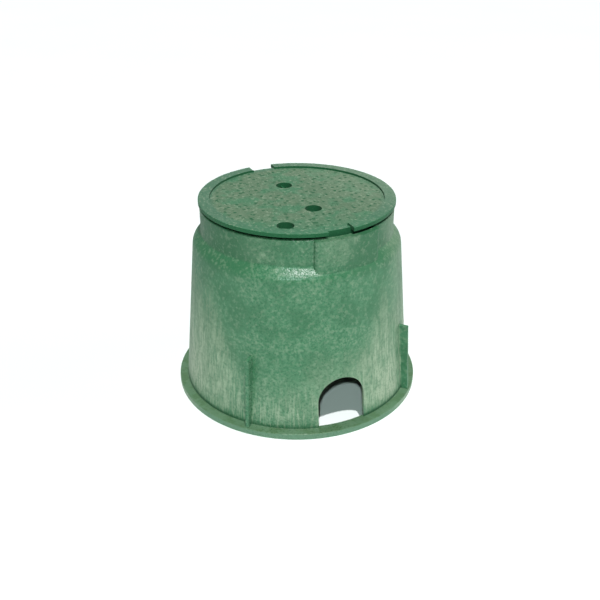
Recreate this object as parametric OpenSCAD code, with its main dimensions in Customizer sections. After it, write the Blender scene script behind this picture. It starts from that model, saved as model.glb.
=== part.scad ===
// Round irrigation valve box, 10 inch size: a tapered open-bottomed body and a
// twist-lock lid. The origin is the centre of the base, +Z is up, and the front
// pipe slot faces -Y. Angles are measured from -Y towards +X.

/* [Base flange] */
// Width of the flange, outwards from the wall's foot
flange_w = 11; // [9:0.5:14]
// Height of the flange's down-turned outer lip
flange_h = 8; // [7:0.5:11]
// Thickness of the flange's flat top
flange_t = 3.5; // [3:0.5:5]
// Thickness of the outer lip
lip_t = 3.5; // [2.5:0.5:5]

/* [Tapered wall] */
// Angle by which the wall leans in from upright
wall_draft = 5.14; // [4:0.02:6]
// Height of the wall's top edge above the ground
wall_top_z = 209.2; // [195:0.2:225]
// Thickness of the tapered wall and the shoulder
wall_t = 4.5; // [3.5:0.5:5]
// Radius of the small fillet between the flange and the wall
foot_fillet = 0.5; // [0.3:0.1:2]

/* [Shoulder and neck] */
// Outside diameter of the neck
neck_d = 250; // [240:0.5:260]
// How far the shoulder stands out from the neck
shoulder_w = 10.9; // [9:0.1:14]
// Rise of the sloping shoulder
shoulder_rise = 11.1; // [9:0.1:14]
// Height of the neck's straight side
neck_h = 34.2; // [32:0.1:42]
// Thickness of the neck and of the lock pockets
neck_t = 4; // [3.5:0.25:4.5]
// How far the rounding of the shoulder's outer edge reaches from that edge
shoulder_round = 6; // [1:0.5:7]
// How far the fillet at the neck's foot reaches from the corner
neck_fillet = 2; // [1:0.5:3]

/* [Seat ledge] */
// Depth of the ledge that carries the lid, below the neck's top
ledge_drop = 13.5; // [12:0.5:18]
// Thickness of the ledge
ledge_t = 3; // [2.5:0.5:5]
// Width of the ledge, inwards from the neck
ledge_w = 10; // [9:0.5:14]

/* [Lock pockets] */
// How far a pocket's outer face stands out from the neck
pocket_reach = 7; // [6:0.25:9]
// How far the mouth that a lug goes down through is cut outwards into the neck
mouth_reach = 3.5; // [3:0.25:4]
// Thickness of the roof that holds a locked lug down
roof_t = 3; // [2.5:0.5:4]
// Thickness of the rib that stops a lug in the locked place
stop_t = 3; // [2:0.5:4]
// Angle of a pocket's outer face beyond the stop rib
pocket_tail = 3.6; // [3:0.1:5]
// Angle between an unlocked lug and the other end of its pocket's outer face
pocket_play = 0.9; // [0.7:0.1:2]

/* [Pipe slots] */
// Width of each pipe slot, which is also the diameter of its arch
slot_w = 63; // [50:1:70]
// Height of the slot's top above the ground
slot_top_z = 74.3; // [65:0.1:90]

/* [Outside ribs] */
// Number of ribs around the wall
rib_n = 4; // [4:2:8]
// Thickness of a rib
rib_t = 4.5; // [3:0.5:6]
// How far a rib's top stands out from the wall
rib_reach = 12; // [8:0.5:13]
// Height of a rib's top above the ground
rib_top_z = 104; // [80:1:130]
// Distance of a rib's foot from the flange's rounded edge
rib_setback = 0.6; // [0.4:0.2:2]

/* [Lid top] */
// How far the lid's edge stands out over the neck's outside
lid_over = 1.5; // [0.5:0.25:3]
// Height of the lid's edge
edge_h = 5.1; // [4.5:0.1:7]
// Gap between the neck's top and the lid's edge
edge_gap = 4.1; // [3:0.1:5]
// Width of the raised band round the lid
band_w = 14.5; // [12:0.5:16]
// Height of the band above the lid's plate
band_rise = 2.9; // [2:0.1:3.5]
// Thickness of the plate
plate_t = 4; // [3:0.5:5]
// Radius that softens the band's outer edge
edge_round = 1; // [0.5:0.1:1.5]

/* [Lid notches] */
// Width of each notch in the band, above a lug
notch_w = 33; // [32:0.5:36]
// Angle of the front notch's middle
notch_at = 2.1; // [1.5:0.1:3]

/* [Lid holes] */
// Diameter of the lifting holes
hole_d = 21.4; // [16:0.1:24]
// Distance of the front and rear holes from the lid's centre
inner_hole_r = 45; // [42:0.5:48]
// Distance of the side hole's middle from the band, inwards
outer_hole_inset = 16; // [14:0.5:20]
// Angle of the front hole
front_hole_at = 4.8; // [0:0.1:8]
// Angle of the side hole
side_hole_at = -30.4; // [-34:0.1:-26]

/* [Lid underside] */
// Thickness of the skirt that drops into the neck
skirt_t = 3.5; // [2.5:0.5:4.5]
// Number of radial ribs, one of which crosses below the rear hole
spoke_n = 12; // [8:2:16]
// Thickness of the ribs under the plate
spoke_t = 2.5; // [2:0.5:4]
// Depth of the ribs below the plate
spoke_h = 9; // [6:0.5:12]
// Outside diameter of the inner ring rib
hub_d = 48; // [40:1:52]
// Outside diameter of the middle ring rib
ring_d = 138; // [130:1:146]
// Thickness of the collar round each lifting hole, as deep as the ribs
collar_t = 2.5; // [2:0.5:4]

/* [Lugs] */
// Angle that each lug spans
lug_angle = 14; // [12:0.5:14]
// Thickness of a lug
lug_t = 4; // [3:0.5:5]

/* [Clearances] */
// Gap between the skirt and the neck's inside
skirt_clear = 3.7; // [2.5:0.1:5]
// Gap between a lug's end and the outer side of its mouth
lug_clear = 0.5; // [0.3:0.1:1]
// Gap between the skirt's foot and the ledge
seat_gap = 0.3; // [0.2:0.05:0.6]
// Gap between a locked lug and the roof above it
lug_gap = 0.3; // [0.2:0.05:0.6]
// Angle between a lug and the stop rib or the roof's end
lug_play = 0.25; // [0.15:0.05:0.4]

/* [Hidden] */
$fn = 180;
cut = 1;
plastic = "#568C66";
lid_plastic = "#5F8F70";

// Radii, from the neck inwards and outwards.
neck_r = neck_d / 2;
neck_in = neck_r - neck_t;
pocket_r = neck_r + pocket_reach;
lid_r = neck_r + lid_over;
band_in = lid_r - band_w;
skirt_r = neck_in - skirt_clear;
skirt_in = skirt_r - skirt_t;
mouth_r = neck_in + mouth_reach;
lug_r = mouth_r - lug_clear;
outer_hole_r = band_in - outer_hole_inset;
arch_r = slot_w / 2;

// The wall tapers evenly, and its inside runs parallel to its outside.
wall_top_r = neck_r + shoulder_w;
function wall_r(z) = wall_top_r + tan(wall_draft) * (wall_top_z - z);
foot_r = wall_r(flange_h);
base_r = foot_r + flange_w;

neck_foot_z = wall_top_z + shoulder_rise;
neck_top_z = neck_foot_z + neck_h;
ledge_z = neck_top_z - ledge_drop;
roof_under_z = neck_top_z - roof_t;
edge_z = neck_top_z + edge_gap;
lid_top_z = edge_z + edge_h;
plate_z = lid_top_z - band_rise;
plate_under_z = plate_z - plate_t;
skirt_foot_z = ledge_z + seat_gap;

// The ledge runs a little way into the neck's wall.
ledge_bite = neck_t / 4;

// The shoulder is a cone, and its underside lies one wall thickness below it.
shoulder_slope = shoulder_rise / shoulder_w;
shoulder_drop = wall_t * sqrt(1 + shoulder_slope * shoulder_slope);
function shoulder_z(r) = wall_top_z + (wall_top_r - r) * shoulder_slope;
function shoulder_under_z(r) = shoulder_z(r) - shoulder_drop;

// A lug lies under its notch when the lid is locked, at the clockwise end of its
// pocket. Turning the lid by turn_angle brings it clear of the roof.
lug_start = notch_at - lug_angle / 2;
lug_end = notch_at + lug_angle / 2;
roof_end = lug_end + lug_play;
turn_angle = lug_angle + 2 * lug_play;
stop_angle = stop_t / neck_r * 180 / PI;
stop_end = lug_start - lug_play;
pocket_from = stop_end - stop_angle - pocket_tail;
pocket_to = lug_end + turn_angle + pocket_play;
pocket_angle = pocket_to - pocket_from;
pocket_at = (pocket_from + pocket_to) / 2;

// Points of an arc, a fillet or a rounded edge.
function arc(x, y, r, from, to, n = 5) =
    [for (i = [0:n]) let (a = from + (to - from) * i / n) [x + r * cos(a), y + r * sin(a)]];

// A polygon's corner cut round: the points run from the side towards a to the
// side towards b, at the distance d from the corner, as a quadratic curve.
function soft(a, p, b, d, n = 4) =
    let (u = (a - p) / norm(a - p), v = (b - p) / norm(b - p))
    [for (i = [0:n]) let (t = i / n) p + u * d * (1 - t) * (1 - t) + v * d * t * t];

// A sector of a ring about the Z axis, from one angle to another.
module ring_sector(r_in, r_out, z_low, z_high, from, to) {
    rotate([0, 0, from - 90])
        rotate_extrude(angle = to - from)
            translate([r_in, z_low])
                square([r_out - r_in, z_high - z_low]);
}

module ring(r_in, r_out, z_low, z_high) {
    rotate_extrude()
        translate([r_in, z_low])
            square([r_out - r_in, z_high - z_low]);
}

module outer_form() {
    foot = [foot_r, flange_h];
    wall_top = [wall_top_r, wall_top_z];
    neck_foot = [neck_r, neck_foot_z];
    neck_top = [neck_r, neck_top_z];
    rotate_extrude()
        polygon(concat(
            [[0, 0], [base_r, 0]],
            arc(base_r - edge_round, flange_h - edge_round, edge_round, 0, 90, 3),
            soft([base_r, flange_h], foot, wall_top, foot_fillet),
            soft(foot, wall_top, neck_foot, shoulder_round),
            soft(wall_top, neck_foot, neck_top, neck_fillet),
            arc(neck_r - edge_round, neck_top_z - edge_round, edge_round, 0, 90, 3),
            [[0, neck_top_z]]
        ));
}

module inner_form() {
    wall_in = wall_top_r - wall_t;
    rotate_extrude()
        polygon([
            [0, -cut],
            [wall_r(-cut) - wall_t, -cut],
            [wall_in, shoulder_under_z(wall_in)],
            [neck_in, shoulder_under_z(neck_in)],
            [neck_in, neck_top_z + cut],
            [0, neck_top_z + cut]
        ]);
}

// The underside of the flange is hollow between the wall's foot and the lip.
module flange_gutter() {
    ring(wall_r(0) + foot_fillet, base_r - lip_t, -cut, flange_h - flange_t);
}

// A wedge of the plan from the Z axis outwards, about -Y, to that angle each side.
module wedge(r, half) {
    intersection() {
        circle(r);
        polygon([[0, 0], 2 * r * [sin(half), -cos(half)], 2 * r * [-sin(half), -cos(half)]]);
    }
}

// Plan of one lock pocket, about its own middle at -Y. A quarter round at each end
// leads from the neck to the outer face. The hollow inside has the same plan,
// smaller by the wall's thickness, and opens to the neck at its full width.
module pocket_plan(inset) {
    end_r = pocket_reach - inset;
    half = pocket_angle / 2;
    end_angle = end_r / neck_r * 180 / PI;
    wedge(pocket_r - inset, half);
    wedge(neck_r, half + end_angle);
    for (end = [-half, half])
        rotate(end)
            translate([0, -neck_r])
                circle(end_r, $fn = 48);
}

module pocket_at_angle(side) {
    rotate([0, 0, pocket_at + side])
        children();
}

module pocket_outside(side) {
    pocket_at_angle(side)
        translate([0, 0, wall_top_z - wall_t])
            linear_extrude(neck_top_z - wall_top_z + wall_t)
                difference() {
                    pocket_plan(0);
                    circle(neck_in + 2 * ledge_bite);
                }
}

module pocket_hollow(side) {
    pocket_at_angle(side)
        translate([0, 0, wall_top_z - wall_t - cut])
            linear_extrude(roof_under_z - wall_top_z + wall_t + cut)
                pocket_plan(neck_t);
}

// A lug goes down beside the roof, through a mouth in the inner edge of the
// pocket's top.
module pocket_mouth(side) {
    intersection() {
        pocket_at_angle(side)
            translate([0, 0, roof_under_z - cut])
                linear_extrude(roof_t + 2 * cut)
                    pocket_plan(neck_t);
        ring_sector(neck_in - cut, mouth_r, roof_under_z - cut, neck_top_z + cut,
            side + roof_end, side + roof_end + pocket_angle);
    }
}

// Below the mouth the ledge is widened to close the pocket under the mouth.
module pocket_floor(side) {
    intersection() {
        pocket_at_angle(side)
            translate([0, 0, ledge_z - ledge_t])
                linear_extrude(ledge_t)
                    pocket_plan(neck_t / 2);
        ring_sector(neck_in + ledge_bite / 2, mouth_r, ledge_z - ledge_t, ledge_z,
            side + roof_end, side + roof_end + pocket_angle);
    }
}

// A rib from the ledge up to the roof stops the lug when the lid is locked.
module stop_rib(side) {
    intersection() {
        pocket_at_angle(side)
            translate([0, 0, ledge_z - ledge_t])
                linear_extrude(neck_top_z - ledge_z + ledge_t - roof_t / 2)
                    pocket_plan(neck_t / 2);
        ring_sector(neck_in, pocket_r, ledge_z - ledge_t - cut, neck_top_z,
            side + stop_end - stop_angle, side + stop_end);
    }
}

// The arched slot cuts the wall down to the flange, which runs on below it.
module pipe_slot(side) {
    reach = base_r - neck_in + wall_t;
    rotate([0, 0, side])
        translate([0, -neck_in + wall_t, 0])
            rotate([90, 0, 0])
                linear_extrude(reach) {
                    translate([0, slot_top_z - arch_r])
                        circle(arch_r);
                    translate([-arch_r, flange_h])
                        square([slot_w, slot_top_z - arch_r - flange_h]);
                }
}

// A rib's outer edge leans in with the wall, from the flange's rim.
module outside_rib(angle) {
    rib_bite = wall_t / 2;
    rib_foot_r = base_r - edge_round - rib_setback;
    rotate([0, 0, angle - 90])
        translate([0, rib_t / 2, 0])
            rotate([90, 0, 0])
                linear_extrude(rib_t)
                    polygon([
                        [wall_r(flange_h) - rib_bite, flange_h - flange_t / 2],
                        [rib_foot_r, flange_h - flange_t / 2],
                        [wall_r(rib_top_z) + rib_reach, rib_top_z],
                        [wall_r(rib_top_z) - rib_bite, rib_top_z]
                    ]);
}

module box_body() {
    color(plastic) {
        difference() {
            union() {
                outer_form();
                for (side = [0, 180]) pocket_outside(side);
                for (i = [0:rib_n - 1]) outside_rib(360 / rib_n * (i + 0.5));
            }
            inner_form();
            flange_gutter();
            for (side = [0, 180]) {
                pocket_hollow(side);
                pocket_mouth(side);
                pipe_slot(side);
            }
        }
        ring(neck_in - ledge_w, neck_in + ledge_bite, ledge_z - ledge_t, ledge_z);
        for (side = [0, 180]) {
            pocket_floor(side);
            stop_rib(side);
        }
    }
}

module lid_form() {
    rotate_extrude()
        polygon(concat(
            [
                [0, plate_under_z],
                [skirt_in, plate_under_z],
                [skirt_in, skirt_foot_z],
                [skirt_r, skirt_foot_z],
                [skirt_r, edge_z],
                [lid_r, edge_z]
            ],
            arc(lid_r - edge_round, lid_top_z - edge_round, edge_round, 0, 90, 3),
            [
                [band_in, lid_top_z],
                [band_in, plate_z],
                [0, plate_z]
            ]
        ));
}

// Straight-sided notch through the band. The plate runs on to the skirt in it.
module notch(side) {
    rotate([0, 0, notch_at + side]) {
        translate([-notch_w / 2, -lid_r - cut, plate_z])
            cube([notch_w, band_w + 2 * cut, band_rise + cut]);
        difference() {
            translate([-notch_w / 2, -lid_r - cut, edge_z - cut])
                cube([notch_w, band_w + cut, edge_h + 2 * cut]);
            cylinder(h = lid_top_z + cut, r = skirt_r);
        }
    }
}

module lug(side) {
    lug_top = roof_under_z - lug_gap;
    ring_sector(skirt_r - skirt_t / 2, lug_r, lug_top - lug_t, lug_top,
        side + lug_start, side + lug_end);
}

module hole(r, angle) {
    rotate([0, 0, angle])
        translate([0, -r, 0])
            cylinder(h = 3 * lid_top_z, d = hole_d, center = true, $fn = 72);
}

// The collar round a lifting hole reaches as far down as the ribs do.
module collar(r, angle) {
    rotate([0, 0, angle])
        translate([0, -r, plate_under_z - spoke_h])
            cylinder(h = spoke_h + plate_t / 2, d = hole_d + 2 * collar_t, $fn = 72);
}

module spokes() {
    low = plate_under_z - spoke_h;
    for (i = [0:spoke_n - 1])
        rotate([0, 0, 360 / spoke_n * i])
            translate([-spoke_t / 2, -skirt_in - skirt_t / 2, low])
                cube([spoke_t, skirt_in + skirt_t / 2 - hub_d / 2 + spoke_t / 2, spoke_h]);
    for (d = [hub_d, ring_d])
        ring(d / 2 - spoke_t, d / 2, low, plate_under_z);
}

module lid() {
    color(lid_plastic) {
        difference() {
            lid_form();
            for (side = [0, 180]) notch(side);
            hole(inner_hole_r, front_hole_at);
            hole(inner_hole_r, 180);
            hole(outer_hole_r, side_hole_at);
        }
        for (side = [0, 180]) lug(side);
        difference() {
            union() {
                spokes();
                collar(inner_hole_r, front_hole_at);
                collar(outer_hole_r, side_hole_at);
            }
            hole(inner_hole_r, front_hole_at);
            hole(outer_hole_r, side_hole_at);
        }
        difference() {
            collar(inner_hole_r, 180);
            hole(inner_hole_r, 180);
        }
    }
}

box_body();
lid();
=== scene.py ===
"""Round irrigation valve box with its twist-lock lid, dressed for a plain studio picture.

Lengths are metres. The box stands on z = 0 with its axis on Z and its front pipe slot
towards -Y. Angles round the axis are counted from -Y towards +X.
"""

import math
import random

import bpy
from bpy.props import FloatProperty, FloatVectorProperty, IntProperty, PointerProperty
from bpy.types import Operator, Panel, PropertyGroup
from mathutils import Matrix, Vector


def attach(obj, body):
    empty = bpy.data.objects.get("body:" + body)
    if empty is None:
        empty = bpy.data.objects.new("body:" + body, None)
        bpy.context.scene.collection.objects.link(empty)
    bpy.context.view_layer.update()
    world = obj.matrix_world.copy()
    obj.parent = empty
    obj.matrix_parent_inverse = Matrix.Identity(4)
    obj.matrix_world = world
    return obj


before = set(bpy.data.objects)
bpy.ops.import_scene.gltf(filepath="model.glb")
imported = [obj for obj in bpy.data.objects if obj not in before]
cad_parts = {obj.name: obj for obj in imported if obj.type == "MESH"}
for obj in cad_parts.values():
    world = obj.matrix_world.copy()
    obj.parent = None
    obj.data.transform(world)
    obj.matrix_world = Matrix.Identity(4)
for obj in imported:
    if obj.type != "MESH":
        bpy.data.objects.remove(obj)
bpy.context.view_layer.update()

bl_info = {
    "name": "Irrigation Valve Box",
    "version": (1, 0, 0),
    "blender": (4, 5, 0),
    "location": "View3D > Sidebar > Valve Box",
    "description": "Dresses a round moulded valve box and its lid, and sets the studio round it",
    "category": "Object",
}

MM = 0.001
LAMP_AWAY = 2  # how far the lamps stand from the box
HOLE_RADIUS = 10.7 * MM
HOLES = ((45 * MM, 4.8), (45 * MM, 180), (96 * MM, -30.4))  # distance from the axis, direction in degrees


def linear(hex_colour):
    """An sRGB hex value as linear red, green, blue and alpha."""
    channels = [int(hex_colour[i:i + 2], 16) / 255 for i in (1, 3, 5)]
    return (*[c / 12.92 if c <= 0.04045 else ((c + 0.055) / 1.055) ** 2.4 for c in channels], 1.0)


def round_axis(radius, angle, height):
    """The point at that distance from the box's axis, in that direction, at that height."""
    return Vector((radius * math.sin(angle), -radius * math.cos(angle), height))


class ValveBoxColours(PropertyGroup):
    body: FloatVectorProperty(
        name="Body", description="Full green of the body's plastic",
        subtype="COLOR", size=4, min=0, max=1, default=linear("#427655"))
    body_deep: FloatVectorProperty(
        name="Body, deep", description="Deep green of the darkest clouds, pits and streaks",
        subtype="COLOR", size=4, min=0, max=1, default=linear("#2A6240"))
    # The pale green also paints side light and reflection on the two sides, and light on the right side
    body_pale: FloatVectorProperty(
        name="Body, pale", description="Greyed green of the flow streaks on the wall's two sides with painted side light",
        subtype="COLOR", size=4, min=0, max=1, default=linear("#9BAB92"))
    # Painted shade in the corner between the wall and the flange
    corner_shade: FloatVectorProperty(
        name="Corner shade", description="Painted shade in the corner between the wall and the flange",
        subtype="COLOR", size=4, min=0, max=1, default=linear("#174A2B"))
    lip: FloatVectorProperty(
        name="Lip", description="Scuffed grey green of the flange's lip",
        subtype="COLOR", size=4, min=0, max=1, default=linear("#5B7E65"))
    dirt: FloatVectorProperty(
        name="Dirt", description="Dark olive dirt in patches on the flange",
        subtype="COLOR", size=4, min=0, max=1, default=linear("#44643F"))
    flange: FloatVectorProperty(
        name="Flange", description="Dusty olive green of the flange's flat top",
        subtype="COLOR", size=4, min=0, max=1, default=linear("#5C775C"))
    lid: FloatVectorProperty(
        name="Lid", description="Deep green of the lid's edge, notches and holes",
        subtype="COLOR", size=4, min=0, max=1, default=linear("#105531"))
    lid_band: FloatVectorProperty(
        name="Lid band", description="Green of the raised band's top",
        subtype="COLOR", size=4, min=0, max=1, default=linear("#477057"))
    lid_plate: FloatVectorProperty(
        name="Lid plate", description="Dusty olive green of the plate inside the band",
        subtype="COLOR", size=4, min=0, max=1, default=linear("#597459"))
    lid_bare: FloatVectorProperty(
        name="Lid plate, bare", description="Fresh green of the plate's patches without bloom",
        subtype="COLOR", size=4, min=0, max=1, default=linear("#397452"))
    floor: FloatVectorProperty(
        name="Floor", description="Colour of the studio's floor",
        subtype="COLOR", size=4, min=0, max=1, default=linear("#F3F5F5"))


class ValveBoxSizes(PropertyGroup):
    band_inside: FloatProperty(
        name="Band inside", description="Radius of the lid's plate inside the raised band",
        unit="LENGTH", min=0.09, max=0.12, default=112 * MM)
    plate_top: FloatProperty(
        name="Plate top", description="Height of the lid's plate above the ground",
        unit="LENGTH", min=0.2, max=0.3, default=260.8 * MM)
    flange_top: FloatProperty(
        name="Flange top", description="Height of the base flange's flat top above the ground",
        unit="LENGTH", min=0.005, max=0.015, default=8 * MM)
    wall_taper: FloatProperty(
        name="Wall taper", description="By how much the wall's radius shrinks over a height of one",
        min=0, max=0.3, default=0.09)
    wall_spread: FloatProperty(
        name="Wall spread", description="Radius that the wall would have on the ground",
        unit="LENGTH", min=0.1, max=0.2, default=154.7 * MM)
    pip_width: FloatProperty(
        name="Pip width", description="Diameter of one anti-slip pip",
        unit="LENGTH", min=0.001, max=0.006, default=3 * MM)
    pip_height: FloatProperty(
        name="Pip height", description="Height of a pip above the plate",
        unit="LENGTH", min=0.0002, max=0.002, default=0.6 * MM)
    pip_spacing: FloatProperty(
        name="Pip spacing", description="Distance between neighbouring pips",
        unit="LENGTH", min=0.005, max=0.03, default=9 * MM)
    rib_top: FloatProperty(
        name="Rib top", description="Height of the outside ribs' tops above the ground",
        unit="LENGTH", min=0.05, max=0.2, default=104 * MM)
    pit_spacing: FloatProperty(
        name="Pit spacing", description="Distance between neighbouring dark pits on the lid's plate",
        unit="LENGTH", min=0.002, max=0.05, default=12 * MM)
    streak_end: FloatProperty(
        name="Streak end", description="Height at which the flow streaks end in front",
        unit="LENGTH", min=0, max=0.2, default=92 * MM)
    streak_full: FloatProperty(
        name="Streak foot", description="Height below which the flow streaks are strongest in front",
        unit="LENGTH", min=0, max=0.2, default=20 * MM)
    streak_rise: FloatProperty(
        name="Streak rise", description="By how much the flow streaks reach higher on the two sides with painted side light",
        unit="LENGTH", min=0, max=0.2, default=105 * MM)
    streak_drum: FloatProperty(
        name="Streak drum", description="Radius of the drum on which the streaks are laid",
        unit="LENGTH", min=0.05, max=0.3, default=145 * MM)
    streak_stretch: FloatProperty(
        name="Streak stretch", description="Width of a streak as a share of its length",
        min=0.01, max=1, default=0.13)
    streak_width: FloatProperty(
        name="Streak width", description="Width of one flow streak on the wall",
        unit="LENGTH", min=0.0005, max=0.02, default=2.6 * MM)
    grain_width: FloatProperty(
        name="Grain width", description="Width of one grain of the moulded skin",
        unit="LENGTH", min=0.0005, max=0.01, default=3 * MM)


class ValveBoxStudio(PropertyGroup):
    camera_turn: FloatProperty(
        name="Camera turn", description="Direction in which the camera stands from the box",
        subtype="ANGLE", default=math.radians(-22.3))
    camera_away: FloatProperty(
        name="Camera distance", description="Level distance from the box's axis to the camera",
        unit="LENGTH", min=0.3, max=5, default=0.9727)
    camera_height: FloatProperty(
        name="Camera height", description="Height of the camera above the ground",
        unit="LENGTH", min=0, max=3, default=0.6314)
    camera_pitch: FloatProperty(
        name="Camera pitch", description="Angle by which the camera looks down",
        subtype="ANGLE", default=math.radians(28.17))
    camera_lens: FloatProperty(
        name="Focal length", description="Focal length on a sensor 36 mm wide",
        unit="CAMERA", min=10, max=200, default=48.32)
    camera_shift: FloatProperty(
        name="Camera shift", description="Sideways shift of the picture, as a share of its width",
        min=-0.1, max=0.1, default=0.0052)
    key_light: FloatProperty(
        name="Key light", description="What the high lamp gives a white face turned to it",
        min=0, max=3, default=0.9)
    fill_light: FloatProperty(
        name="Fill light", description="What the lower lamp gives a white face turned to it",
        min=0, max=3, default=0.42)
    key_turn: FloatProperty(
        name="Key turn", description="Direction from which the high lamp shines",
        subtype="ANGLE", default=math.radians(-7.5))
    key_lift: FloatProperty(
        name="Key lift", description="Angle of the high lamp above the ground",
        subtype="ANGLE", default=math.radians(67.8))
    fill_turn: FloatProperty(
        name="Fill turn", description="Direction from which the lower lamp shines",
        subtype="ANGLE", default=math.radians(-27))
    fill_lift: FloatProperty(
        name="Fill lift", description="Angle of the lower lamp above the ground",
        subtype="ANGLE", default=math.radians(37.4))
    lamp_width: FloatProperty(
        name="Lamp width", description="Angle that each of the two lamps fills, seen from the box",
        subtype="ANGLE", min=0, default=math.radians(2))
    side_lift: FloatProperty(
        name="Side lift", description="Angle of the two soft boxes above the ground",
        subtype="ANGLE", default=math.radians(18))
    side_width: FloatProperty(
        name="Side width", description="Width of each soft box",
        unit="LENGTH", min=0.1, max=4, default=1.6)
    left_share: FloatProperty(
        name="Left share", description="Level of the left soft box, as a share of the right one's",
        min=0, max=1, default=0.1)
    side_light: FloatProperty(
        name="Side light", description="What the right soft box gives a white face turned to it",
        min=0, max=3, default=0.24)
    room_light: FloatProperty(
        name="Room light", description="Level of the room all round",
        min=0, max=2, default=0.09)
    mirrored_room: FloatProperty(
        name="Mirrored room", description="Level of the room where the plastic's gloss mirrors it",
        min=0, max=2, default=0.42)
    fill_colour: FloatVectorProperty(
        name="Fill colour", description="Cool tint of the lower lamp",
        subtype="COLOR", size=3, min=0, max=1, default=(0.76, 1.0, 0.93))
    seed: IntProperty(
        name="Seed", description="Seed for the uneven places of the pips",
        min=0, default=4)


def add_node(tree, kind, settings=None, links=None):
    """One node of that kind.

    Settings are its properties or the fixed values of its sockets. Links feed its sockets.
    """
    node = tree.nodes.new(kind)
    for name, value in (settings or {}).items():
        if isinstance(name, str) and hasattr(node, name):
            setattr(node, name, value)
        else:
            node.inputs[name].default_value = value
    for name, source in (links or {}).items():
        tree.links.new(source, node.inputs[name])
    return node


def new_material(name):
    material = bpy.data.materials.new(name)
    material.use_nodes = True
    material.node_tree.nodes.clear()
    return material, material.node_tree


def share_of(tree, *parts):
    """The parts multiplied: how far a look holds at a place.

    A part is a socket, a number, or a socket with the two levels between which it is
    smoothly stretched from 0 to 1, or to two other ends that follow them.
    """
    share = None
    for part in parts:
        if isinstance(part, tuple):
            value, low, high, *ends = part
            least, most = ends or (0.0, 1.0)
            part = add_node(
                tree, "ShaderNodeMapRange",
                {"interpolation_type": "SMOOTHSTEP", "From Min": low, "From Max": high,
                 "To Min": least, "To Max": most},
                {"Value": value}).outputs["Result"]
        if share is None:
            share = part
            continue
        settings, links = {"operation": "MULTIPLY"}, {0: share}
        (settings if isinstance(part, (int, float)) else links)[1] = part
        share = add_node(tree, "ShaderNodeMath", settings, links).outputs[0]
    return share


def sum_of(tree, *shares):
    """The sum of shares, each given as the list of its parts."""
    level, *others = [share_of(tree, *parts) for parts in shares]
    for share in others:
        level = add_node(
            tree, "ShaderNodeMath", {"operation": "ADD"}, {0: level, 1: share}).outputs[0]
    return level


def coated(tree, colour, *coats):
    """The colour under those coats, each given as its colour and the parts of its share.

    The colours are sockets or fixed colours.
    """
    for coat, *parts in coats:
        settings, links = {"data_type": "RGBA"}, {0: share_of(tree, *parts)}
        for slot, source in ((6, colour), (7, coat)):
            (links if isinstance(source, bpy.types.NodeSocket) else settings)[slot] = source
        colour = add_node(tree, "ShaderNodeMix", settings, links).outputs[2]
    return colour


def round_the_axis(tree, place):
    """Parts of a place: its height, its distance from the axis and its direction from the axis."""
    apart = add_node(tree, "ShaderNodeSeparateXYZ", None, {0: place})
    level = add_node(
        tree, "ShaderNodeCombineXYZ", None,
        {"X": apart.outputs["X"], "Y": apart.outputs["Y"]}).outputs[0]
    radius = add_node(
        tree, "ShaderNodeVectorMath", {"operation": "LENGTH"}, {0: level}).outputs["Value"]
    outward = add_node(
        tree, "ShaderNodeVectorMath", {"operation": "NORMALIZE"}, {0: level}).outputs[0]
    return apart.outputs["Z"], radius, outward


def laid_on_drum(tree, outward, height, sizes):
    """The place laid on a drum, with its height shortened, so that noise there gives upright streaks."""
    drum = add_node(
        tree, "ShaderNodeVectorMath", {"operation": "SCALE", "Scale": sizes.streak_drum},
        {0: outward}).outputs[0]
    around = add_node(tree, "ShaderNodeSeparateXYZ", None, {0: drum})
    return add_node(
        tree, "ShaderNodeCombineXYZ", None,
        {"X": around.outputs["X"], "Y": around.outputs["Y"],
         "Z": share_of(tree, height, sizes.streak_stretch)}).outputs[0]


def finish_plastic(tree, colour, roughness, skin, sheen):
    """The shader of a moulded plastic and its output."""
    shader = add_node(
        tree, "ShaderNodeBsdfPrincipled",
        {"IOR": 1.5, "Specular IOR Level": 0.4, "Sheen Weight": sheen, "Sheen Roughness": 0.5},
        {"Base Color": colour, "Roughness": roughness, "Normal": skin.outputs[0]})
    add_node(tree, "ShaderNodeOutputMaterial", None, {"Surface": shader.outputs[0]})


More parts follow.
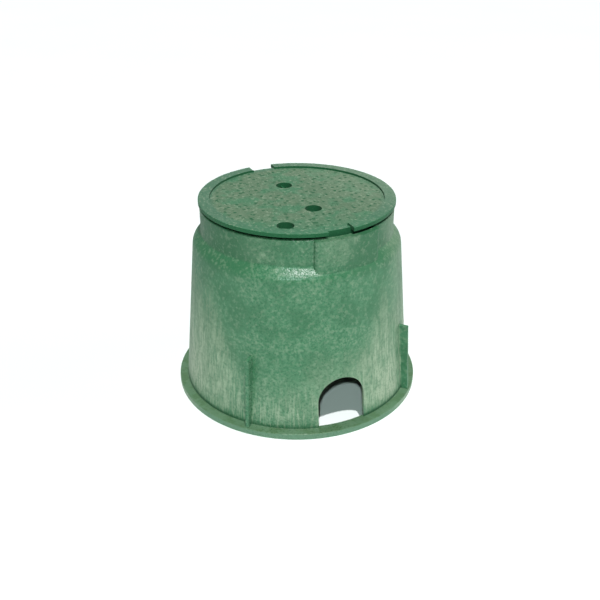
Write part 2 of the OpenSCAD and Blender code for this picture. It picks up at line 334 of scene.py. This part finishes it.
def moulded_body_plastic(colours, sizes):
    """Injection-moulded polyethylene, mid green.

    The melt leaves soft clouds and a leathery mottle. Where it arrived last, low on the
    wall and on two sides of the box, it leaves fine upright streaks and a paler skin; on
    the two sides the paler skin is partly painted side light and reflection. The right
    side also gets painted light, the wall beside the ribs painted shade, and the corner
    at the wall's foot a band of painted shade.
    The real grain and streaks are finer than a millimetre, and are drawn coarser so that
    they show.
    """
    material, tree = new_material("moulded_polyethylene_body")
    place = add_node(tree, "ShaderNodeTexCoord").outputs["Object"]
    height, radius, outward = round_the_axis(tree, place)
    on_drum = laid_on_drum(tree, outward, height, sizes)
    clouds, mottle, grain, dirt, streaks, wide_streaks = [
        add_node(
            tree, "ShaderNodeTexNoise", {"Scale": 1 / width, "Detail": detail, "Roughness": rough},
            {"Vector": source}).outputs["Fac"]
        for source, width, detail, rough in (
            (place, 38 * MM, 4, 0.55),
            (place, 5.5 * MM, 3, 0.6),
            (place, sizes.grain_width, 2, 0.6),
            (place, 14 * MM, 3, 0.6),
            (on_drum, sizes.streak_width, 2, 0.6),
            (on_drum, 6 * sizes.streak_width, 2, 0.5))]

    # How squarely a place looks to the two sides, the slots, the ribs and the right
    to_side, to_slot, to_rib, to_right = [
        add_node(
            tree, "ShaderNodeVectorMath",
            {"operation": "DOT_PRODUCT", 1: round_axis(1, math.radians(degrees), 0)},
            {0: outward}).outputs["Value"]
        for degrees in (68, 0, 45, 66)]
    sides, slots, ribs = [share_of(tree, value, value) for value in (to_side, to_slot, to_rib)]

    # Where the wall, the streaks, the flange and its lip are
    flange = sizes.flange_top
    spread = add_node(
        tree, "ShaderNodeMath", {"operation": "MULTIPLY_ADD", 1: sizes.wall_taper},
        {0: height, 2: radius}).outputs[0]
    on_wall = share_of(
        tree, (height, flange + 0.4 * MM, flange + 1 * MM),
        (spread, sizes.wall_spread + 2 * MM, sizes.wall_spread + 1 * MM))
    side_share = share_of(tree, (sides, 0.15, 0.6))
    reach = add_node(
        tree, "ShaderNodeMath", {"operation": "MULTIPLY_ADD", 1: -sizes.streak_rise},
        {0: side_share, 2: height}).outputs[0]
    streaked = share_of(tree, (reach, sizes.streak_end, sizes.streak_full), on_wall)
    on_flange = share_of(
        tree, (height, flange + 1 * MM, flange + 0.4 * MM), (height, flange - 1.2 * MM, flange - 0.4 * MM))
    on_lip = share_of(tree, (height, flange - 0.4 * MM, flange - 1.2 * MM))

    # The paler skin: on the two sides partly real streaks and partly painted side light and reflection, the
    # streaked foot, slots' sides, patches on the neck, and painted light on the right side
    pale_and_side_light_share = sum_of(
        tree,
        # The two sides: partly real streaks, partly painted side light and reflection
        [side_share, on_wall, (height, 160 * MM, 30 * MM, 0.0, 0.5)],
        [streaked, (wide_streaks, 0.36, 0.62, 0.14, 0.43)],
        [(slots, 0.86, 0.96), (height, 120 * MM, 80 * MM, 0.0, 0.2), on_wall],
        [(sides, 0.0, 0.12), (sides, 0.36, 0.14, 0.0, 0.3), (clouds, 0.4, 0.6, 0.3, 1.2),
         (height, 218 * MM, 232 * MM)],
        # Painted light on the right side of the upper wall and the neck
        [(to_right, 0.8, 0.98, 0.0, 0.27), (height, 150 * MM, 200 * MM)])

    # Less of it beside the ribs, which paints their shade, and low at the wall's foot, which paints the
    # shade in the corner
    by_ribs = sum_of(tree, [(ribs, 0.975, 0.996)], [(ribs, 0.012, 0.003)])
    off_ribs = add_node(
        tree, "ShaderNodeMath", {"operation": "MAXIMUM"},
        {0: share_of(tree, (by_ribs, 1.0, 0.0, 0.45, 1.0)),
         1: share_of(tree, (height, sizes.rib_top - 4 * MM, sizes.rib_top + 4 * MM))}).outputs[0]
    pale_and_side_light_share = share_of(tree, pale_and_side_light_share, off_ribs, (height, 9 * MM, 26 * MM, 0.25, 1.0))

    low_share = share_of(tree, (height, 150 * MM, 70 * MM, 0.15, 0.5))
    colour = coated(
        tree, colours.body,
        (colours.body_deep, (clouds, 0.56, 0.4), 0.5),
        # Deeper green on the shoulder and the neck, most towards the two sides
        (colours.body_deep, (height, 196 * MM, 214 * MM), (sides, 0.0, 0.4, 0.2, 1.0)),
        # Pale streaks and skin, with painted side light and reflection on the two sides and painted light on
        # the right
        (colours.body_pale, pale_and_side_light_share),
        (colours.body_pale, (mottle, 0.5, 0.66), 0.2),
        (colours.body_deep, (mottle, 0.5, 0.34), 0.35),
        (colours.body_pale,
         (clouds, 0.5, 0.6, 0.2, 1.0), (grain, 0.5, 0.66), (sides, 0.55, 0.25, 0.3, 1.0), 0.22),
        (colours.body_deep, (grain, 0.5, 0.34), 0.4),
        (colours.body_pale, (streaks, 0.5, 0.62), streaked, low_share, 0.8),
        (colours.body, (streaks, 0.5, 0.38), streaked, low_share),
        (colours.flange, on_flange, 0.75),
        (colours.dirt, (dirt, 0.54, 0.4), on_flange, 0.55),
        (colours.lip, on_lip, 0.85),
        # Painted reflection on the lip towards the two sides
        (colours.body_pale, on_lip, (sides, 0.45, 0.85, 0.0, 0.45)),
        # Painted shade in the corner between the wall and the flange
        (colours.corner_shade, (height, flange + 7 * MM, flange + 1.5 * MM), on_wall, (sides, 0.0, 0.4, 0.55, 0.9)))

    relief = sum_of(tree, [mottle], [grain, 0.8], [streaks, streaked, 0.6])
    skin = add_node(tree, "ShaderNodeBump", {"Strength": 1, "Distance": 0.6 * MM}, {"Height": relief})
    roughness = sum_of(tree, [(grain, 0.35, 0.65, 0.24, 0.36)], [(sides, 0.1, 0.5, 0.0, 0.3)])
    finish_plastic(tree, colour, roughness, skin, 0.02)
    return material


def moulded_lid_plastic(colours, sizes):
    """Injection-moulded polyethylene, deep green, with a dusty bloom on all that faces up.

    The bloom is thickest on the plate, with dark pits and pale flecks in it, and thin on
    the band, which hands and boots keep clean. The real grain is finer than a millimetre,
    and is drawn coarser so that it shows.
    """
    material, tree = new_material("moulded_polyethylene_lid")
    coordinates = add_node(tree, "ShaderNodeTexCoord")
    place = coordinates.outputs["Object"]
    height, radius, _ = round_the_axis(tree, place)
    facing = add_node(tree, "ShaderNodeSeparateXYZ", None, {0: coordinates.outputs["Normal"]})
    stroked = add_node(
        tree, "ShaderNodeMapping", {"Rotation": (0, 0, math.radians(35)), "Scale": (1, 0.25, 1)},
        {"Vector": place}).outputs[0]
    clouds, grain, flecks, brushed = [
        add_node(
            tree, "ShaderNodeTexNoise", {"Scale": 1 / width, "Detail": detail, "Roughness": rough},
            {"Vector": source}).outputs["Fac"]
        for source, width, detail, rough in (
            (place, 28 * MM, 4, 0.6),
            (place, sizes.grain_width, 3, 0.65),
            (place, 3.5 * MM, 3, 0.6),
            (stroked, 4 * MM, 2, 0.5))]
    pits = add_node(
        tree, "ShaderNodeTexVoronoi",
        {"voronoi_dimensions": "2D", "Scale": 1 / sizes.pit_spacing, "Randomness": 0.9},
        {"Vector": place}).outputs["Distance"]
    to_front, to_back = [
        add_node(
            tree, "ShaderNodeVectorMath",
            {"operation": "DOT_PRODUCT", 1: round_axis(1, math.radians(degrees), 0)},
            {0: place}).outputs["Value"]
        for degrees in (-15, 108)]

    upward = share_of(tree, (facing.outputs["Z"], 0.5, 0.9))
    bloom = share_of(tree, upward, (height, sizes.plate_top - 1.5 * MM, sizes.plate_top - 0.5 * MM))
    on_plate = share_of(tree, (radius, sizes.band_inside + 0.5 * MM, sizes.band_inside - 7 * MM))
    plate = coated(tree, colours.lid_plate, (colours.lid_bare, (clouds, 0.46, 0.62), 0.8))
    top = coated(
        tree, colours.lid_band,
        (plate, on_plate),
        # Greener towards the front of the top and paler towards its back right
        (colours.lid_bare, (to_front, 50 * MM, 120 * MM, 0.0, 0.75)),
        (colours.body_pale, (to_back, 20 * MM, 125 * MM, 0.0, 0.22)))
    colour = coated(
        tree, colours.lid,
        (top, bloom),
        (colours.lid, (grain, 0.48, 0.34), 0.45),
        (colours.lid, (brushed, 0.48, 0.34), 0.2),
        (colours.lid, (pits, 0.21, 0.15), (clouds, 0.62, 0.5, 0.2, 1.0), on_plate),
        (colours.body_pale, (flecks, 0.54, 0.68), bloom, 0.5),
        (colours.body_pale, (brushed, 0.54, 0.68), bloom, 0.1))

    relief = sum_of(tree, [grain], [brushed])
    skin = add_node(tree, "ShaderNodeBump", {"Strength": 0.5, "Distance": 0.4 * MM}, {"Height": relief})
    roughness = sum_of(tree, [(grain, 0.3, 0.7, 0.4, 0.55)], [(upward, 1.0, 0.0, 0.0, 0.3)])
    finish_plastic(tree, colour, roughness, skin, 0.05)
    return material


def studio_floor_paper(colours):
    """White background paper, matt, which keeps the shadow of what stands on it."""
    material, tree = new_material("studio_background_paper")
    place = add_node(tree, "ShaderNodeTexCoord").outputs["Object"]
    fibre = add_node(
        tree, "ShaderNodeTexNoise", {"Scale": 2.5, "Detail": 2}, {"Vector": place}).outputs["Fac"]
    shade = tuple(c * 0.97 for c in colours.floor[:3]) + (1.0,)
    paper = add_node(
        tree, "ShaderNodeBsdfDiffuse", None, {"Color": coated(tree, colours.floor, (shade, fibre))})
    add_node(tree, "ShaderNodeOutputMaterial", None, {"Surface": paper.outputs[0]})
    return material


def wear(node_name, material):
    """Puts the material into every slot of that CAD node."""
    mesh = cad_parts[node_name].data
    if not mesh.materials:
        mesh.materials.append(material)
    for i in range(len(mesh.materials)):
        mesh.materials[i] = material


def pip_places(sizes, seed):
    """Uneven places of the pips on the plate, clear of the band and the holes."""
    dice = random.Random(seed)
    row_gap = sizes.pip_spacing * math.sqrt(3) / 2
    reach = sizes.band_inside - sizes.pip_width * 1.5
    stray = 0.36 * sizes.pip_spacing
    worn_away = 0.4
    holes = [round_axis(away, math.radians(turn), 0) for away, turn in HOLES]
    hole_clear = HOLE_RADIUS + sizes.pip_width
    rows = int(reach / row_gap)
    columns = int(reach / sizes.pip_spacing) + 1
    places = []
    for row in range(-rows, rows + 1):
        start = 0 if row % 2 == 0 else sizes.pip_spacing / 2
        for column in range(-columns, columns + 1):
            spot = Vector((
                start + column * sizes.pip_spacing + dice.uniform(-stray, stray),
                row * row_gap + dice.uniform(-stray, stray),
                sizes.plate_top))
            if dice.random() < worn_away or spot.xy.length > reach:
                continue
            if any((spot.xy - hole.xy).length < hole_clear for hole in holes):
                continue
            places.append(spot)
    return places


class VALVEBOX_OT_body(Operator):
    """Dress the body in moulded green plastic"""
    bl_idname = "valvebox.body"
    bl_label = "Body"

    def execute(self, context):
        scene = context.scene
        wear("box_body", moulded_body_plastic(scene.valve_box_colours, scene.valve_box_sizes))
        return {"FINISHED"}


class VALVEBOX_OT_lid(Operator):
    """Dress the lid in dusty green plastic"""
    bl_idname = "valvebox.lid"
    bl_label = "Lid"

    def execute(self, context):
        scene = context.scene
        wear("lid", moulded_lid_plastic(scene.valve_box_colours, scene.valve_box_sizes))
        return {"FINISHED"}


class VALVEBOX_OT_pips(Operator):
    """Set the anti-slip pips on the lid's plate"""
    bl_idname = "valvebox.pips"
    bl_label = "Anti-slip pips"

    def execute(self, context):
        sizes = context.scene.valve_box_sizes
        sunk = 0.15 * MM  # how deep a pip's foot stands in the plate
        just_over_middle = 0.0001 * MM
        bpy.ops.object.select_all(action="DESELECT")
        bpy.ops.mesh.primitive_uv_sphere_add(
            segments=10, ring_count=6, radius=sizes.pip_width / 2, location=(0, 0, 0))
        pip = context.active_object
        bpy.ops.object.mode_set(mode="EDIT")
        bpy.ops.mesh.select_all(action="SELECT")
        bpy.ops.mesh.bisect(
            plane_co=(0, 0, just_over_middle), plane_no=(0, 0, 1), use_fill=True, clear_inner=True)
        bpy.ops.mesh.select_all(action="SELECT")
        flat = (sizes.pip_height + sunk) / (sizes.pip_width / 2)
        bpy.ops.transform.resize(value=(1, 1, flat))
        bpy.ops.object.mode_set(mode="OBJECT")
        low = min(v.co.z for v in pip.data.vertices)
        seed = context.scene.valve_box_studio.seed
        dice = random.Random(seed)
        copies = []
        for spot in pip_places(sizes, seed):
            copy = pip.copy()
            copy.data = pip.data.copy()
            copy.location = spot - Vector((0, 0, sunk + low))
            copy.rotation_euler.z = dice.uniform(0, math.pi)
            copy.scale = (dice.uniform(0.8, 1.2), dice.uniform(0.5, 0.8), dice.uniform(0.6, 1))
            context.scene.collection.objects.link(copy)
            copies.append(copy)
        bpy.data.objects.remove(pip)
        bpy.ops.object.select_all(action="DESELECT")
        for copy in copies:
            copy.select_set(True)
        context.view_layer.objects.active = copies[0]
        bpy.ops.object.join()
        pips = context.active_object
        bpy.ops.object.transform_apply(location=True, rotation=True, scale=True)
        bpy.ops.object.shade_smooth()
        pips.name = "lid_pips"
        pips.data.materials.clear()
        pips.data.materials.append(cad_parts["lid"].data.materials[0])
        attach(pips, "lid")
        return {"FINISHED"}


def lamp(context, name, turn, lift, width, level):
    """A distant lamp in that direction, as wide as that angle, which lights a white face to that level."""
    place = round_axis(LAMP_AWAY * math.cos(lift), turn, LAMP_AWAY * math.sin(lift))
    bpy.ops.object.light_add(type="SUN", location=place)
    light = context.active_object
    light.name = name
    light.rotation_euler = (-place).to_track_quat("-Z", "Y").to_euler()
    light.data.angle = width
    light.data.energy = level * math.pi
    return light


def soft_box(context, name, turn, lift, size, level):
    """A square soft box in that direction, which lights a white face at the box to that level."""
    place = round_axis(LAMP_AWAY * math.cos(lift), turn, LAMP_AWAY * math.sin(lift))
    bpy.ops.object.light_add(type="AREA", location=place)
    light = context.active_object
    light.name = name
    light.rotation_euler = (-place).to_track_quat("-Z", "Y").to_euler()
    light.data.shape = "SQUARE"
    light.data.size = size
    light.data.energy = level * math.pi ** 2 * LAMP_AWAY ** 2
    return light


class VALVEBOX_OT_stage(Operator):
    """Set the floor, the lamps, the white room and the camera"""
    bl_idname = "valvebox.stage"
    bl_label = "Stage"

    def execute(self, context):
        scene = context.scene
        studio = scene.valve_box_studio
        colours = scene.valve_box_colours
        bpy.ops.object.select_all(action="DESELECT")
        bpy.ops.mesh.primitive_circle_add(vertices=96, radius=9, fill_type="NGON", location=(0, 0, 0))
        floor = context.active_object
        floor.name = "studio_floor"
        floor.data.materials.append(studio_floor_paper(colours))

        lamp(context, "key_lamp", studio.key_turn, studio.key_lift, studio.lamp_width, studio.key_light)
        fill = lamp(
            context, "fill_lamp", studio.fill_turn, studio.fill_lift, studio.lamp_width, studio.fill_light)
        fill.data.color = studio.fill_colour
        for name, turn, share in (("left_soft_box", -90, studio.left_share), ("right_soft_box", 90, 1)):
            soft_box(
                context, name, studio.camera_turn + math.radians(turn), studio.side_lift,
                studio.side_width, share * studio.side_light)

        world = bpy.data.worlds.new("white_room")
        world.use_nodes = True
        tree = world.node_tree
        tree.nodes.clear()
        path = add_node(tree, "ShaderNodeLightPath")
        level = share_of(
            tree, (path.outputs["Is Glossy Ray"], 0, 1, studio.room_light, studio.mirrored_room))
        strength = add_node(
            tree, "ShaderNodeMath", {"operation": "MAXIMUM"},
            {0: level, 1: path.outputs["Is Camera Ray"]}).outputs[0]
        room = add_node(tree, "ShaderNodeBackground", {"Color": (1, 1, 1, 1)}, {"Strength": strength})
        add_node(tree, "ShaderNodeOutputWorld", None, {"Surface": room.outputs[0]})
        scene.world = world

        place = round_axis(studio.camera_away, studio.camera_turn, studio.camera_height)
        bpy.ops.object.camera_add(
            location=place, rotation=(math.pi / 2 - studio.camera_pitch, 0, studio.camera_turn))
        camera = context.active_object
        camera.name = "studio_camera"
        camera.data.sensor_width = 36
        camera.data.lens = studio.camera_lens
        camera.data.shift_x = studio.camera_shift
        camera.data.dof.use_dof = False
        scene.camera = camera
        scene.view_settings.view_transform = "Standard"
        return {"FINISHED"}


class VALVEBOX_PT_panel(Panel):
    bl_idname = "VALVEBOX_PT_panel"
    bl_label = "Valve Box"
    bl_space_type = "VIEW_3D"
    bl_region_type = "UI"
    bl_category = "Valve Box"

    def draw(self, context):
        scene = context.scene
        for group in (scene.valve_box_colours, scene.valve_box_sizes, scene.valve_box_studio):
            box = self.layout.box()
            for name in group.__annotations__:
                box.prop(group, name)
        for operator in OPERATORS:
            self.layout.operator(operator.bl_idname)


GROUPS = (ValveBoxColours, ValveBoxSizes, ValveBoxStudio)
OPERATORS = (VALVEBOX_OT_body, VALVEBOX_OT_lid, VALVEBOX_OT_pips, VALVEBOX_OT_stage)


def register():
    for cls in (*GROUPS, *OPERATORS, VALVEBOX_PT_panel):
        bpy.utils.register_class(cls)
    bpy.types.Scene.valve_box_colours = PointerProperty(type=ValveBoxColours)
    bpy.types.Scene.valve_box_sizes = PointerProperty(type=ValveBoxSizes)
    bpy.types.Scene.valve_box_studio = PointerProperty(type=ValveBoxStudio)


def unregister():
    del bpy.types.Scene.valve_box_studio
    del bpy.types.Scene.valve_box_sizes
    del bpy.types.Scene.valve_box_colours
    for cls in reversed((*GROUPS, *OPERATORS, VALVEBOX_PT_panel)):
        bpy.utils.unregister_class(cls)


def main():
    register()
    bpy.ops.valvebox.body()
    bpy.ops.valvebox.lid()
    bpy.ops.valvebox.pips()
    bpy.ops.valvebox.stage()


if __name__ == "__main__":
    main()
